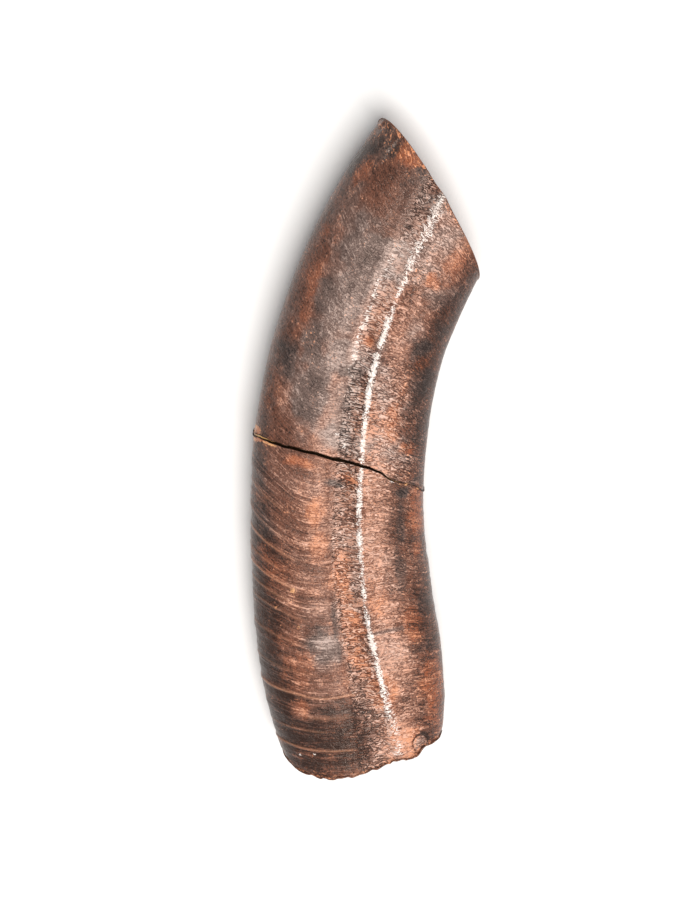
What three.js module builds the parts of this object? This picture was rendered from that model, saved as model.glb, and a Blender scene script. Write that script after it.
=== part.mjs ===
// Fossil tooth of a giant ground sloth, broken across the middle and glued together again.
// The tooth is a long curved column with an open root and one slanting wear face.
// It lies on its flat outer side: +Y runs towards the worn crown, +X to its concave side, +Z up.
// Every length is in millimetres. The origin is under the middle of the tooth, on the surface that it rests on.
import * as THREE from "three";

// The tooth's line from the root to the crown: the middle of the column in plan, and half of its breadth there.
// The first and last stations lie a little past the two ends, which are cut back from them.
const STATIONS = [
  { x: 2.7, y: -66, half: 12.6 },
  { x: 2.3, y: -60, half: 14.8 },
  { x: 1.6, y: -52, half: 16.5 },
  { x: 0.2, y: -41, half: 17.3 },
  { x: -1.3, y: -29, half: 16.9 },
  { x: -2.2, y: -18, half: 16.3 },
  { x: -2.4, y: -8, half: 16 },
  { x: -1.7, y: 3, half: 15.9 },
  { x: 0.4, y: 15, half: 15.4 },
  { x: 4.7, y: 28.5, half: 15.2 },
  { x: 10.2, y: 40, half: 15 },
  { x: 16.4, y: 50, half: 14.8 },
  { x: 23.5, y: 59.5, half: 14.6 },
];

// The section across the column: flat below, round on the left above, squarer on the right above.
const BELLY = 7.4; // height of the widest line above the rest surface
const CREST = 8.6; // height of the upper side above the widest line
const FLAT_CUT = 0.15; // how much of the underside is worn away to the rest surface
const UNDER_POWER = 2.7;
const LEFT_POWER = 2.25;
const RIGHT_POWER = 2.5;
const ROOT_THINNING = 0.07; // share of the thickness that is lost at the very end of the root
const ROOT_THINNING_REACH = 18;

// The raised keel along the upper side, the shallow flute on its left, and the low shoulder that borders the flute.
// Places and widths are shares of half the breadth, and the flute and the shoulder are placed from the keel.
const KEEL_LINE = {
  along: [0, 10, 20, 30, 60, 72, 84, 94, 103, 115, 130],
  at: [0.54, 0.45, 0.34, 0.28, 0.25, 0.24, 0.2, 0.18, 0.15, 0.09, 0.04],
};
const KEEL = { high: 0.9, wide: 0.07 };
const FLUTE = { deep: 0.2, wide: 0.13, shift: -0.18 };
const SHOULDER = { high: 0.18, wide: 0.06, shift: -0.32 };
const RELIEF_FADE = 4; // height above the widest line over which the keel and the flute come in

// The wear face: a slanting plane from the tip down to the corner on the concave side.
const TIP = new THREE.Vector3(5.4, 59.4, BELLY);
const CORNER = new THREE.Vector3(21.5, 33, BELLY);
const FACE_LEAN = 0.33; // how far the face turns towards the rest surface
const BASIN_DEEP = 1.1; // the softer middle of the face is worn below its hard rim
const BASIN_SIDE = 0.5; // share of the face over which its rim slopes down to the basin

// The old break, as distances along the tooth from BREAK_ALONG, over the upper side and over the underside.
const BREAK_ALONG = 66.4;
const BREAK_OVER = {
  at: [-1, -0.93, -0.84, -0.7, -0.4, 0, 0.3, 0.45, 0.6, 0.75, 0.88, 1],
  rise: [1.7, 2, 1.9, 1.7, 1.4, 0.5, -0.3, -1.3, -3, -3.9, -4.8, -7],
};
const BREAK_UNDER = { at: [-1, -0.8, -0.4, 0, 0.4, 0.8, 1], rise: [1.7, 1.6, 0.8, -1, -2.6, -5, -7] };
const BREAK_TURN = 0.6; // share of the height, either way, over which the break turns from one line to the other
const BREAK_GAP = 0.6;
const GLUE_THICK = 0.2;
const GLUE_SHORT = 0.78; // share of the break that the glue fills where the crack stands open
const GLUE_FULL = 0.985; // the same share at the two ends of the crack, where a bead of glue shows
const GLUE_EDGE = 0.03; // breadth of the sheet's outermost strip, as a share
// Where the glue comes out: shares across and up at which it starts to, and the shares over which it does.
const GLUE_OUT = { right: 0.45, overRight: 0.25, left: 0.68, overLeft: 0.26, overUnder: 0.4 };

// The open root: the broken line of its end, and the pulp cavity that narrows into the tooth.
const ROOT_END = {
  at: [-1, -0.83, -0.6, -0.3, 0, 0.2, 0.46, 0.67, 0.78, 1],
  along: [7.4, 5.3, 4.3, 4.2, 5, 5.9, 7.2, 7.3, 8.4, 9],
};
const WALL = 3.4;
const CAVITY_DEEP = 30;
const CAVITY_TAPER = 1.3;

const AROUND = 54;
const FINE_STEPS = 1440; // steps in which the section's outline is measured
const SLOPE_STEP = 0.4; // distance either way over which the tooth's direction is taken
const HALVINGS = 40; // steps in which the wear face is found along a line of the skin
const CROWN_ROWS = 22;
const ROOT_ROWS = 24;
const BREAK_RINGS = [0.35, 0.7, 0.88];
const FACE_RINGS = [0.94, 0.84, 0.6, 0.3];
const CAVITY_ROWS = 8;

const MATERIALS = {
  fossil: { color: 0x5b4138, roughness: 0.5, metalness: 0 },
  glue: { color: 0xb98a4e, roughness: 0.3, metalness: 0 },
};

const mix = (a, b, share) => a + (b - a) * share;
const clamp = (value, low, high) => Math.min(high, Math.max(low, value));
const smooth = (value) => {
  const v = clamp(value, 0, 1);
  return v * v * (3 - 2 * v);
};

// A smooth curve through values at the knots. Its slope at a knot weighs the slopes of the two pieces beside it.
function through(knots, values, at) {
  const last = knots.length - 1;
  const slopeAt = (i) => {
    const before = i > 0 ? (values[i] - values[i - 1]) / (knots[i] - knots[i - 1]) : null;
    const after = i < last ? (values[i + 1] - values[i]) / (knots[i + 1] - knots[i]) : null;
    if (before === null) return after;
    if (after === null) return before;
    const left = knots[i] - knots[i - 1];
    const right = knots[i + 1] - knots[i];
    return (before * right + after * left) / (left + right);
  };
  let i = 0;
  while (i < last - 1 && at > knots[i + 1]) i++;
  const span = knots[i + 1] - knots[i];
  const f = (at - knots[i]) / span;
  const f2 = f * f;
  const f3 = f2 * f;
  return (
    (2 * f3 - 3 * f2 + 1) * values[i] +
    (f3 - 2 * f2 + f) * slopeAt(i) * span +
    (3 * f2 - 2 * f3) * values[i + 1] +
    (f3 - f2) * slopeAt(i + 1) * span
  );
}

// Distance along the tooth of each station, from the root end.
const REACH = STATIONS.reduce((reach, station, i) => {
  if (i === 0) return [0];
  const before = STATIONS[i - 1];
  return [...reach, reach[i - 1] + Math.hypot(station.x - before.x, station.y - before.y)];
}, []);
const column = (name) => STATIONS.map((station) => station[name]);
const middleX = (along) => through(REACH, column("x"), along);
const middleY = (along) => through(REACH, column("y"), along);
const halfBreadth = (along) => through(REACH, column("half"), along);

// The point of the section at an angle: across the tooth, up from its widest line, and both as shares.
function section(angle, along) {
  const c = Math.cos(angle);
  const s = Math.sin(angle);
  const half = halfBreadth(along);
  const above = s >= 0;
  const thin = 1 - ROOT_THINNING * (1 - smooth(along / ROOT_THINNING_REACH));
  const high = (above ? CREST : BELLY + FLAT_CUT) * thin;
  const overPower = c < 0 ? LEFT_POWER : RIGHT_POWER;
  const power = above ? overPower : UNDER_POWER;
  const radius = (Math.abs(c / half) ** power + Math.abs(s / high) ** power) ** (-1 / power);
  const across = radius * c;
  const up = radius * s;
  return { across, up: up + keelAndFlute(across / half, up, along), share: across / half, rise: up / high };
}

function keelAndFlute(share, up, along) {
  if (up <= 0) return 0;
  const off = share - through(KEEL_LINE.along, KEEL_LINE.at, along);
  const keel = KEEL.high * Math.exp(1 - Math.hypot(1, off / KEEL.wide));
  const flute = FLUTE.deep * Math.exp(-(((off - FLUTE.shift) / FLUTE.wide) ** 2));
  const shoulder = SHOULDER.high * Math.exp(-(((off - SHOULDER.shift) / SHOULDER.wide) ** 2));
  return (keel - flute + shoulder) * clamp(up / RELIEF_FADE, 0, 1);
}

// A point of the section set at its place along the curved tooth, and never below the rest surface.
function place(across, up, along) {
  const dx = middleX(along + SLOPE_STEP) - middleX(along - SLOPE_STEP);
  const dy = middleY(along + SLOPE_STEP) - middleY(along - SLOPE_STEP);
  const length = Math.hypot(dx, dy);
  return new THREE.Vector3(
    middleX(along) + (dy / length) * across,
    middleY(along) - (dx / length) * across,
    Math.max(0, BELLY + up),
  );
}

const skinPoint = (angle, along) => {
  const at = section(angle, along);
  return place(at.across, at.up, along);
};

// Angles that share out the section's outline evenly.
function evenAngles(count) {
  const lengths = [0];
  let before = skinPoint(0, BREAK_ALONG);
  for (let i = 1; i <= FINE_STEPS; i++) {
    const now = skinPoint((i / FINE_STEPS) * 2 * Math.PI, BREAK_ALONG);
    lengths.push(lengths[i - 1] + now.distanceTo(before));
    before = now;
  }
  const angles = [];
  let i = 0;
  for (let n = 0; n < count; n++) {
    const wanted = (n / count) * lengths[FINE_STEPS];
    while (lengths[i + 1] < wanted) i++;
    const part = (wanted - lengths[i]) / (lengths[i + 1] - lengths[i]);
    angles.push(((i + part) / FINE_STEPS) * 2 * Math.PI);
  }
  return angles;
}
const ANGLES = evenAngles(AROUND);

// How far along the tooth the break lies, for a place given as shares of the section.
function breakAlong(share, rise) {
  const over = through(BREAK_OVER.at, BREAK_OVER.rise, clamp(share, -1, 1));
  const under = through(BREAK_UNDER.at, BREAK_UNDER.rise, clamp(share, -1, 1));
  return BREAK_ALONG + mix(under, over, smooth((rise + BREAK_TURN) / (2 * BREAK_TURN)));
}

// How far along the tooth the end of the root lies.
const rootAlong = (share) => through(ROOT_END.at, ROOT_END.along, clamp(share, -1, 1));

// Distance along the tooth at which the line of one angle meets the wear face.
const faceLine = new THREE.Vector3().subVectors(CORNER, TIP).normalize();
const FACE_NORMAL = new THREE.Vector3(-faceLine.y, faceLine.x, -FACE_LEAN).normalize();
function crownAlong(angle) {
  let low = BREAK_ALONG;
  let high = REACH[REACH.length - 1];
  for (let i = 0; i < HALVINGS; i++) {
    const middle = (low + high) / 2;
    if (skinPoint(angle, middle).sub(TIP).dot(FACE_NORMAL) < 0) low = middle;
    else high = middle;
  }
  return low;
}

// Rings of the tooth's outer skin between two limits along the tooth, each a function of the angle.
function skinRings(from, to, rows) {
  const limits = ANGLES.map((angle) => [from(angle), to(angle)]);
  return Array.from({ length: rows + 1 }, (_, row) =>
    ANGLES.map((angle, i) => skinPoint(angle, mix(limits[i][0], limits[i][1], row / rows))),
  );
}

// One point of the broken face, a share of the way out from its middle, and its distance along the tooth.
function breakAtAngle(angle, shift, out = 1) {
  const rim = section(angle, BREAK_ALONG);
  return breakAlong(rim.share * out, rim.rise * out) + shift;
}
function breakPoint(angle, shift, out) {
  const along = breakAtAngle(angle, shift, out);
  const at = section(angle, along);
  return place(at.across * out, at.up * out, along);
}
const breakRings = (shift) => BREAK_RINGS.map((out) => ANGLES.map((angle) => breakPoint(angle, shift, out)));

// Closes a stack of rings into one body, with a point at each end. A square is split along its shorter diagonal.
function closedBody(start, rings, end) {
  const count = rings[0].length;
  const points = [start, ...rings.flat(), end];
  const last = points.length - 1;
  const faces = [];
  const at = (ring, i) => 1 + ring * count + (i % count);
  const square = (a, b, c, d) => {
    const splitAtA = points[a].distanceTo(points[c]) < points[b].distanceTo(points[d]);
    faces.push(...(splitAtA ? [a, b, c, a, c, d] : [b, c, d, b, d, a]));
  };
  for (let i = 0; i < count; i++) {
    faces.push(0, at(0, i), at(0, i + 1));
    for (let ring = 0; ring < rings.length - 1; ring++) {
      square(at(ring, i), at(ring + 1, i), at(ring + 1, i + 1), at(ring, i + 1));
    }
    faces.push(last, at(rings.length - 1, i + 1), at(rings.length - 1, i));
  }
  const geometry = new THREE.BufferGeometry().setFromPoints(points);
  geometry.setIndex(faces);
  geometry.computeVertexNormals();
  return geometry;
}

// The crown half: from the broken face up to the wear face, whose middle is a shallow basin.
function crownGeometry() {
  const shift = BREAK_GAP / 2;
  const skin = skinRings((angle) => breakAtAngle(angle, shift), crownAlong, CROWN_ROWS);
  const rim = skin[skin.length - 1];
  const middle = rim.reduce((sum, point) => sum.add(point), new THREE.Vector3()).divideScalar(rim.length);
  const sunk = (point, share) => point.addScaledVector(FACE_NORMAL, -BASIN_DEEP * smooth((1 - share) / BASIN_SIDE));
  const face = FACE_RINGS.map((share) => rim.map((point) => sunk(middle.clone().lerp(point, share), share)));
  return closedBody(breakPoint(0, shift, 0), [...breakRings(shift), ...skin, ...face], sunk(middle.clone(), 0));
}

// One ring of the pulp cavity, a share of the way down from the root's end to the cavity's tip.
const CAVITY_TIP = ROOT_END.along[ROOT_END.at.indexOf(0)] + CAVITY_DEEP;
function cavityRing(down) {
  return ANGLES.map((angle) => {
    const along = mix(rootAlong(section(angle, CAVITY_TIP).share), CAVITY_TIP, down);
    const at = section(angle, along);
    const radius = Math.hypot(at.across, at.up);
    const inner = (1 - WALL / radius) * (1 - down ** CAVITY_TAPER);
    return place(at.across * inner, at.up * inner, along);
  });
}

// The root half: from the tip of the pulp cavity out over the worn end and up to the broken face.
function rootGeometry() {
  const shift = -BREAK_GAP / 2;
  const cavity = Array.from({ length: CAVITY_ROWS }, (_, row) => cavityRing(1 - (row + 1) / CAVITY_ROWS));
  const skin = skinRings(
    (angle) => rootAlong(section(angle, CAVITY_TIP).share),
    (angle) => breakAtAngle(angle, shift),
    ROOT_ROWS,
  );
  const rings = [...cavity, ...skin, ...breakRings(shift).reverse()];
  return closedBody(place(0, 0, CAVITY_TIP), rings, breakPoint(0, shift, 0));
}

// The glue: a thin sheet in the break, which stops short of the open crack and comes out at its two ends.
function glueReach(angle) {
  const { share, rise } = section(angle, BREAK_ALONG);
  const right = smooth((share - GLUE_OUT.right) / GLUE_OUT.overRight);
  const left = smooth((-share - GLUE_OUT.left) / GLUE_OUT.overLeft);
  const under = smooth(-rise / GLUE_OUT.overUnder);
  return mix(GLUE_SHORT, GLUE_FULL, Math.max(right, left, under));
}
// A point between two rings of the broken face, so that the glue lies along the face's facets.
function glueEdge(angle, shift, out) {
  const shares = [...BREAK_RINGS, 1];
  const next = shares.findIndex((share) => out <= share);
  const [before, after] = [shares[next - 1], shares[next]];
  const step = (out - before) / (after - before);
  return breakPoint(angle, shift, before).lerp(breakPoint(angle, shift, after), step);
}
const [outermost] = BREAK_RINGS.slice(-1);
function glueSide(shift) {
  const inner = ANGLES.map((angle) => glueEdge(angle, shift, Math.min(glueReach(angle) - GLUE_EDGE, outermost)));
  const edge = ANGLES.map((angle) => glueEdge(angle, shift, glueReach(angle)));
  return [...breakRings(shift).slice(0, -1), inner, edge];
}
function glueGeometry() {
  const below = -GLUE_THICK / 2;
  const above = GLUE_THICK / 2;
  const rings = [...glueSide(below), ...glueSide(above).reverse()];
  return closedBody(breakPoint(0, below, 0), rings, breakPoint(0, above, 0));
}

function piece(name, geometry, material) {
  const mesh = new THREE.Mesh(geometry, new THREE.MeshStandardMaterial(material));
  mesh.name = name;
  return mesh;
}

// The tooth is moved so that the middle of its box in plan is over the origin.
const tooth = new THREE.Group();
tooth.add(piece("crown_fragment", crownGeometry(), MATERIALS.fossil));
tooth.add(piece("root_fragment", rootGeometry(), MATERIALS.fossil));
tooth.add(piece("glue_seam", glueGeometry(), MATERIALS.glue));
const middle = new THREE.Box3().setFromObject(tooth).getCenter(new THREE.Vector3());
tooth.position.set(-middle.x, -middle.y, 0);

const fossil = new THREE.Group();
fossil.add(tooth);

export default fossil;
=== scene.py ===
import bpy
import numpy as np
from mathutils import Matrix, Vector


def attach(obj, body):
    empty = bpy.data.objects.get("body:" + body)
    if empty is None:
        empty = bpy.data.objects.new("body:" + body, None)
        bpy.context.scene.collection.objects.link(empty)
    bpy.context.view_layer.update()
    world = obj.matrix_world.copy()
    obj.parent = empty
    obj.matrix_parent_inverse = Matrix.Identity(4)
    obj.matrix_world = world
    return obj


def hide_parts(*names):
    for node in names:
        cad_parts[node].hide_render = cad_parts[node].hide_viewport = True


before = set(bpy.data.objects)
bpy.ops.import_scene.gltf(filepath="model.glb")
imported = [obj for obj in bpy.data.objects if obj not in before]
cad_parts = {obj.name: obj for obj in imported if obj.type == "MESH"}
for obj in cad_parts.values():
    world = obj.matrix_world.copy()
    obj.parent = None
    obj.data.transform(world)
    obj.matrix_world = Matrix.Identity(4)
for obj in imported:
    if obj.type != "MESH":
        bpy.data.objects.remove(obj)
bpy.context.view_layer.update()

MM = 0.001

# The tooth's line from the root to the crown: the middle of the column in plan, and half of its breadth there.
STATIONS = np.array([
    (2.7, -66, 12.6), (2.3, -60, 14.8), (1.6, -52, 16.5), (0.2, -41, 17.3), (-1.3, -29, 16.9), (-2.2, -18, 16.3),
    (-2.4, -8, 16), (-1.7, 3, 15.9), (0.4, 15, 15.4), (4.7, 28.5, 15.2), (10.2, 40, 15), (16.4, 50, 14.8),
    (23.5, 59.5, 14.6),
])
REACH = np.concatenate([[0], np.cumsum(np.hypot(*np.diff(STATIONS[:, :2], axis=0).T))])
SLOPE_STEP = 0.4

# The tooth is moved in plan so that the middle of its box is over the origin.
PLAN_SHIFT = np.array([-2.16975, 1.15512, 0.0])

# The section across the column: flat below, round on the left above, squarer on the right above.
BELLY = 7.4
CREST = 8.6
FLAT_CUT = 0.15
UNDER_POWER = 2.7
LEFT_POWER = 2.25
RIGHT_POWER = 2.5
ROOT_THINNING = 0.07
ROOT_THINNING_REACH = 18

# Roughly what a whole share across and a whole share of the height come to, for noise and spots.
HALF_BREADTH = 16
HALF_HEIGHT = 8

# The keel along the upper side, the flute on its left and the low shoulder that borders the flute. Widths and
# shifts are shares across, and all three fade in over one height.
KEEL_ALONG = [0, 10, 20, 30, 60, 72, 84, 94, 103, 115, 130]
KEEL_AT = [0.54, 0.45, 0.34, 0.28, 0.25, 0.24, 0.2, 0.18, 0.15, 0.09, 0.04]
KEEL_HIGH, KEEL_WIDE = 0.9, 0.07
FLUTE_DEEP, FLUTE_WIDE, FLUTE_SHIFT = 0.2, 0.13, -0.18
SHOULDER_HIGH, SHOULDER_WIDE, SHOULDER_SHIFT = 0.18, 0.06, -0.32
RELIEF_FADE = 4

# The border on the left of the flute, as a share across by the distance along.
FLUTE_BORDER = (
    [0, 17, 33, 41, 63, 84, 96, 106, 113, 130],
    [-0.04, -0.04, -0.05, -0.08, -0.03, -0.05, -0.08, -0.09, -0.16, -0.3],
)

# The wear face: a plane through the tip and the corner that leans towards the underside, with a shallow basin
# inside a raised rim, whose widths are shares of the way in.
TIP = np.array([5.4, 59.4, BELLY])
CORNER = np.array([21.5, 33, BELLY])
FACE_LEAN = 0.33
FACE_LINE = (CORNER - TIP) / np.linalg.norm(CORNER - TIP)
FACE_NORMAL = np.array([-FACE_LINE[1], FACE_LINE[0], -FACE_LEAN])
FACE_NORMAL = FACE_NORMAL / np.linalg.norm(FACE_NORMAL)
BASIN_DEEP, BASIN_SIDE = 1.1, 0.5
RIM_HIGH, RIM_SIDE, ROUGH_FROM = 0.25, 0.06, 0.1
HALVINGS = 40

# How far along the break lies at each share across, over the upper side and over the underside, and the share of
# the height over which the one turns into the other.
BREAK_ALONG = 66.4
BREAK_OVER = (
    [-1, -0.93, -0.84, -0.7, -0.4, 0, 0.3, 0.45, 0.6, 0.75, 0.88, 1],
    [1.7, 2.0, 1.9, 1.7, 1.4, 0.5, -0.3, -1.3, -3, -3.9, -4.8, -7],
)
BREAK_UNDER = ([-1, -0.8, -0.4, 0, 0.4, 0.8, 1], [1.7, 1.6, 0.8, -1, -2.6, -5, -7])
BREAK_TURN = 0.6

# Half of the crack's open width, by the share across: it closes to a hair on the right, and a chip widens it on
# the left. The glue fills part of the width, and comes out to the skin only at both ends and below.
CRACK_OPEN = ([-1, -0.85, 0.4, 0.56, 0.66, 1], [0.25, 0.24, 0.24, 0.18, 0.09, 0.075])
CRACK_CHIP_DEEP, CRACK_CHIP_FROM, CRACK_CHIP_BROKEN = 0.25, (-0.86, -0.96), (0.1, 0.7)
GLUE_SHARE_OF_CRACK = 0.55
GLUE_REACH, GLUE_REACHES_OUT = 0.78, 0.205
GLUE_RIGHT, GLUE_LEFT, GLUE_BELOW = (0.45, 0.7), (-0.68, -0.94), (0, -0.4)

# The open root: where its broken end lies by the share across, its wall, and the pulp cavity.
ROOT_END = (
    [-1, -0.83, -0.6, -0.3, 0, 0.2, 0.46, 0.67, 0.78, 1],
    [7.4, 5.3, 4.3, 4.2, 5, 5.9, 7.2, 7.3, 8.4, 9],
)
WALL = 3.4
CAVITY_DEEP = 30
CAVITY_TAPER = 1.3
CAVITY_TIP = ROOT_END[1][4] + CAVITY_DEEP
CAVITY_STREAKED = 0.2

# How far the fine surface stays inside the smooth form.
SKIN_INSET = 0.06
SKIN_WEAR = 0.15
FACE_INSET = 0.12
ROOT_INSET = 0.12
ROOT_RAGGED_LEAST = -0.1
WALL_SUNK = 0.15
ROOT_LIP = 0.1

# Points round a ring, how much closer together they are above, and the rings of the skin.
AROUND = 300
UPPER_SHARE = 2
FINE_STEPS = 4000
CROWN_ROWS, ROOT_ROWS = 244, 240
# Shares of the way out to the skin, or down the cavity, at which there are rings.
BREAK_RINGS = 1 - (1 - np.linspace(0.06, 0.995, 22)) ** 1.3
FACE_RINGS = 1 - np.linspace(0.006, 0.96, 26) ** 1.1
CAVITY_RINGS = np.linspace(0.97, 0, 26)
WALL_RINGS = (0.25, 0.5, 0.75, 0.93)
GLUE_RINGS = np.linspace(0.1, 1, 16)

# Layers of noise in the form: how high, the size of a cell, and the seed.
BREAK_UNEVEN = [(0.12, 1.1, 5)]
BREAK_RAGGED = [(0.05, 0.9, 11), (0.03, 0.4, 12)]
CRACK_CHIP_NOISE = [(1, 1.2, 13)]
SKIN_SWELL = [(0.1, 9, 31), (0.04, 3.2, 32), (0.028, 0.75, 33)]
TIP_CHIP_NOISE = [(1, 1.6, 34)]
ROOT_ROUGH_NOISE = [(0.5, 1.0, 35)]
CORNER_CHIP_NOISE = [(0.2, 1.5, 36)]
FACE_UNEVEN = [(0.12, 1.6, 41)]
ROOT_END_RAGGED = [(0.3, 1.5, 51), (0.15, 0.6, 52)]
CAVITY_RIDGED = [(0.25, 1.6, 53)]
WALL_CRUMBLED = [(0.15, 0.9, 54)]

# How far a growth line stands towards the crown, by the share across.
GROWTH_BOW = ([-1, -0.7, -0.43, -0.2, 0.05, 0.25, 0.65, 1], [4.6, 2.2, 0.4, 0, 0.2, 0, -0.9, -3.4])
# Growth lines of three spacings: how deep, the spacing, how much their noise is squeezed across, and the seed.
GROWTH_WAVES = [(0.11, 0.8, 0.05, 21), (0.14, 1.9, 0.05, 22), (0.1, 5.5, 0.04, 23)]
PATCHES_LEAST, PATCHES_NOISE, PATCHES_LONG = 0.65, [(0.35, 5, 24)], 2
# How clear they are at least, and the shares across over which they get clear on the left and on the right.
GROWTH_LEAST, GROWTH_LEFT, GROWTH_RIGHT, GROWTH_ON_RIGHT = 0.3, (0.05, -0.35), (0.3, 0.6), 0.35
MARK_DEEP, MARK_LEFT_FADE, MARK_RIGHT_FADE = 0.12, 0.1, 0.15
MARK_WANDER = [(0.3, 5, 25)]
# Single growth lines: growth distance, from and to as shares across, width, and how pale or, with a minus, dark.
GROWTH_MARKS = [
    (21.6, -1.1, 0.1, 0.17, 1.4), (10.3, -1.1, 0, 0.16, 1.2), (47.5, -1.1, -0.4, 0.18, 0.9),
    (42.2, -1.1, -0.45, 0.18, 1.1), (34.8, -0.1, 1, 0.21, -0.9), (27.5, 0.2, 0.7, 0.21, 0.5),
    (22.8, 0.6, 1, 0.21, 0.6), (17.5, -0.65, 0, 0.4, 0.4), (44.6, -1.1, -0.6, 0.18, 0.6),
    (39.4, -1.1, -0.5, 0.2, 0.7), (36.6, -1.1, -0.35, 0.2, 0.5), (31.6, -1.1, -0.4, 0.18, 0.5),
    (50.2, -1.1, -0.5, 0.18, 0.4), (54.6, -1.1, -0.55, 0.2, 0.5), (26.2, -1.1, -0.3, 0.18, 0.4),
    (14.4, -1.1, -0.3, 0.18, 0.5),
]

# Values that change along the tooth: a start, then each change with the distances it is eased in between.
GROWTH_BOWED = (0.3, [(0.7, 8, 38), (0.4, 42, 60)])
GROWTH_CLEAR = (1, [(-0.8, 58, 70)])
ON_CROWN = (0, [(1, 58, 68)])
LOW_DOWN = (1, [(-1, 80, 90)])
FLUTE_CLEAR = (1, [(-0.7, 80, 90)])
# How wide and how strong the painted highlight is along the keel, and along the flute's border.
HIGHLIGHT_WIDE = (0.036, [(0.01, 72, 84), (0.04, 99, 110), (0.045, 26, 14)])
HIGHLIGHT_STRONG = (1.05, [(-0.28, 99, 109), (-0.55, 27, 15)])
BORDER_HIGHLIGHT_STRONG = (0, [(0.55, 74, 88), (-0.55, 103, 110)])

# Shallow worn holes and, with a minus, raised nubs: share across, distance along, radius, depth.
PITS = [
    (-0.52, 42.6, 0.7, -0.25), (-0.72, 39.3, 0.6, -0.22), (-0.68, 38.2, 0.9, 0.3), (-0.48, 35.7, 0.5, -0.2),
    (-0.44, 35, 0.7, 0.2), (-0.85, 74.6, 0.8, 0.22), (-0.82, 73.6, 0.45, -0.16), (-0.3, 62.4, 0.7, 0.15),
    (0.62, 33.5, 0.8, 0.2), (-0.58, 19.6, 0.7, 0.18), (0.46, 103.4, 0.8, 0.15), (0.05, 89.2, 0.9, 0.12),
    (-0.79, 103.2, 1.2, 0.12),
]

# A curved chip at the right corner of the root's end, with a sloping edge and a dark line round its upper left.
CHIP_SHARE, CHIP_ALONG, CHIP_RADIUS, CHIP_LONG = 0.72, 9.9, 1.5, 1.25
CHIP_DEEP, CHIP_SLOPE, CHIP_LINE_WIDE = 0.26, 0.3, 0.2
CHIP_LINE_SLANT, CHIP_LINE_FROM = 4, (-1.5, 1)

# Worn chips round the tip and the rough end of the root: how deep, and how near they're eased in.
TIP_CHIPS_AT, TIP_CHIPS_NEAR = TIP + [0.5, -1, 4], (9, 2)
TIP_CHIPS_DEEP, TIP_CHIPS_BROKEN = 0.5, (0, 0.7)
ROOT_ROUGH_DEEP, ROOT_ROUGH_NEAR = 0.35, (2.2, 0)
# The relief is eased in over this height above the resting surface.
FLAT_FADE = 3


def smooth(value):
    """Smoothstep of the value held between 0 and 1."""
    v = np.clip(value, 0, 1)
    return v * v * (3 - 2 * v)


def ease(value, start, end):
    """Smoothstep from 0 at the start to 1 at the end, which may also lie below the start."""
    return smooth((value - start) / (end - start))


def bell(distance, width):
    """1 at no distance, and beyond it the exponential of minus the square of distance over width."""
    return np.exp(-((distance / width) ** 2))


def fade(distance, length):
    """1 at no distance, and beyond it the exponential of minus distance over length."""
    return np.exp(-distance / length)


def varying(start, changes, along):
    """A start plus each change's amount, eased in from its first distance along the tooth to its second."""
    return start + sum(amount * ease(along, first, second) for amount, first, second in changes)


def through(knots, values, at):
    """Smooth curve through values at knots: a cubic between two knots, with slopes that weigh both sides."""
    knots = np.asarray(knots, float)
    values = np.asarray(values, float)
    wide = np.diff(knots)
    chord = np.diff(values) / wide
    slope = np.empty(len(knots))
    slope[0], slope[-1] = chord[0], chord[-1]
    slope[1:-1] = (chord[:-1] * wide[1:] + chord[1:] * wide[:-1]) / (wide[1:] + wide[:-1])
    i = np.clip(np.searchsorted(knots, at) - 1, 0, len(knots) - 2)
    f = (at - knots[i]) / wide[i]
    start = (2 * f**3 - 3 * f**2 + 1) * values[i] + (f**3 - 2 * f**2 + f) * slope[i] * wide[i]
    return start + (3 * f**2 - 2 * f**3) * values[i + 1] + (f**3 - f**2) * slope[i + 1] * wide[i]


def scatter(cells, seed):
    """A fixed number from 0 to 1 for each whole-number cell, from multiplied and shifted bits."""
    mixed = np.full(cells.shape[:-1], seed * 2654435761 % 2**32, np.uint64)
    for column in range(cells.shape[-1]):
        mixed = (mixed ^ (cells[..., column].astype(np.int64) & 0xFFFFFFFF).astype(np.uint64)) * 0x9E3779B1
        mixed = (mixed & 0xFFFFFFFF) ^ ((mixed & 0xFFFFFFFF) >> 15)
        mixed = (mixed * 0x85EBCA6B) & 0xFFFFFFFF
        mixed = mixed ^ (mixed >> 13)
    return mixed.astype(float) / 2**32


def noise(coords, size, seed):
    """Noise from -1 to 1: a fixed value at each corner of a lattice of cells, smoothly joined."""
    at = np.stack(np.broadcast_arrays(*coords), -1) / size
    cell = np.floor(at)
    f = smooth(at - cell)
    total = 0
    for corner in np.ndindex(*(2,) * at.shape[-1]):
        weight = np.prod(np.where(corner, f, 1 - f), -1)
        total = total + weight * scatter(cell + corner, seed)
    return total * 2 - 1


def noises(coords, layers):
    """The sum of layers of noise, each with its own height, cell size and seed."""
    return sum(high * noise(coords, size, seed) for high, size, seed in layers)


def on_section(share, rise):
    """Rough millimetres across and up, for a share across and a share of the height."""
    return share * HALF_BREADTH, rise * HALF_HEIGHT


def from_spot(share, along, at, where, wide=1, long=1):
    """Distance over the skin from a spot's share across and distance along, over the spot's two radii."""
    return np.hypot((share - at) * HALF_BREADTH / wide, (along - where) / long)


def middle_of(along):
    """The middle of the column in plan, and half of its breadth, at a distance along the tooth."""
    return [through(REACH, STATIONS[:, column], along) for column in range(3)]


def keel_offset(share, along):
    """How far right of the keel a share across is."""
    return share - through(KEEL_ALONG, KEEL_AT, along)


def border_offset(share, along):
    """How far right of the flute's border a share across is."""
    return share - through(*FLUTE_BORDER, along)


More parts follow.
